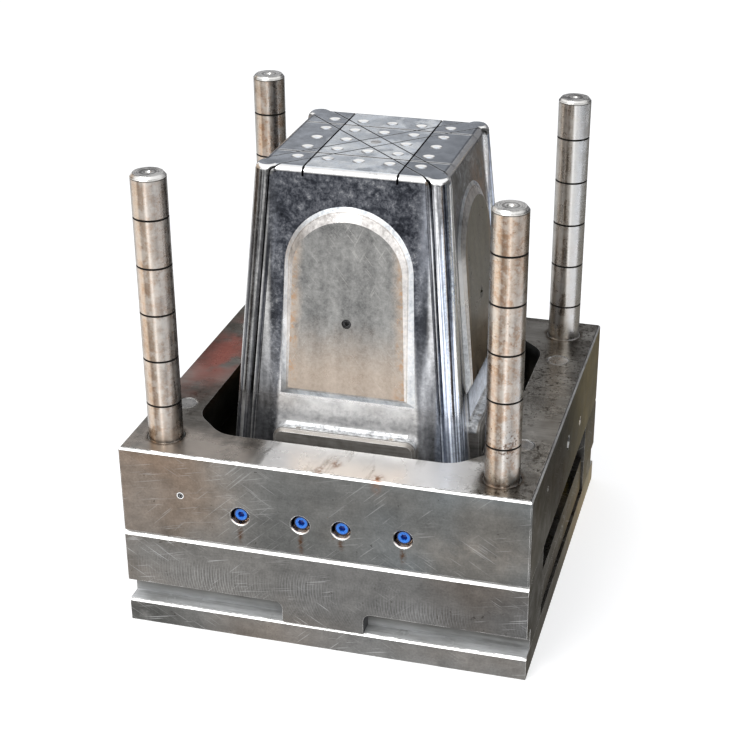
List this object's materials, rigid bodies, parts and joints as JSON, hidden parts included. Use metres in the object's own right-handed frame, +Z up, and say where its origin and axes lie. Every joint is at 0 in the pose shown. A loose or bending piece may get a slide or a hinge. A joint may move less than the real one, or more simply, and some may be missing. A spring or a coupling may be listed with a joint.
{
  "type": "mould base with core",
  "caption": "Core half of an injection mould for a square stool: clamp plate, rails, pocketed core plate, tall tapered core, grooved guide pillars and sliding ejector set.",
  "frame": {"origin": "centre of the underside of the bottom clamp plate", "axes": "+X right along the front face, +Y from front to rear, +Z up along the guide pillars"},
  "size_m": [0.6, 0.6, 0.69],
  "materials": {
    "plate_steel": "milled and ground, lightly rusted",
    "polished_core_steel": "mirror polished",
    "shut_off_steel": "satin, rust-stained at the edges",
    "pillar_steel": "ground and oiled",
    "ground_pin_steel": "ground",
    "screw_steel": "black oxide",
    "spring_steel": "painted",
    "bronze": "turned",
    "blue_plastic": "gloss moulded",
    "seal_rubber": "matte"
  },
  "bodies": {
    "base": {"bottom_clamp_plate": "plate_steel", "front_spacer_rail": "plate_steel", "rear_spacer_rail": "plate_steel", "core_plate": "plate_steel", "core_block": "polished_core_steel", "skirt_bars": "shut_off_steel", "skirt_bar_screws": "screw_steel", "front_window_insert": "shut_off_steel", "right_window_insert": "shut_off_steel", "rear_window_insert": "shut_off_steel", "left_window_insert": "shut_off_steel", "window_insert_screws": "screw_steel", "guide_pillar_front_left": "pillar_steel", "guide_pillar_front_right": "pillar_steel", "guide_pillar_rear_left": "pillar_steel", "guide_pillar_rear_right": "pillar_steel", "support_pillars": "ground_pin_steel", "support_pillar_screws": "screw_steel", "rest_buttons": "ground_pin_steel", "clamp_screws": "screw_steel", "dowel_pins": "ground_pin_steel", "core_block_screws": "screw_steel", "ejector_guide_pins": "ground_pin_steel", "water_port_plugs": "blue_plastic", "channel_end_plugs": "bronze", "cooling_baffles": "bronze", "core_seal_rings": "seal_rubber", "return_springs": "spring_steel", "air_poppet_guide": "bronze", "air_poppet_spring": "spring_steel"},
    "ejector_set": {"ejector_backing_plate": "plate_steel", "ejector_retainer_plate": "plate_steel", "ejector_plate_screws": "screw_steel", "ejector_guide_bushes": "bronze", "knockout_bush": "ground_pin_steel", "return_pins": "ground_pin_steel", "leg_ejector_rods": "ground_pin_steel", "leg_ejector_blocks": "shut_off_steel", "skirt_ejector_pins": "ground_pin_steel"},
    "air_poppet_set": {"air_poppet": "polished_core_steel", "air_poppet_nut": "ground_pin_steel"}
  },
  "joints": [
    {"name": "ejector_slide", "type": "slide", "parent": "base", "child": "ejector_set", "axis": [0, 0, 1], "range_m": [0, 0.045], "stiffness_N_per_m": 60000, "springref_m": -0.005, "deforming": ["return_springs"]},
    {"name": "air_poppet_lift", "type": "slide", "parent": "base", "child": "air_poppet_set", "axis": [0, 0, 1], "range_m": [0, 0.004], "stiffness_N_per_m": 2000, "springref_m": -0.002, "deforming": ["air_poppet_spring"]}
  ]
}
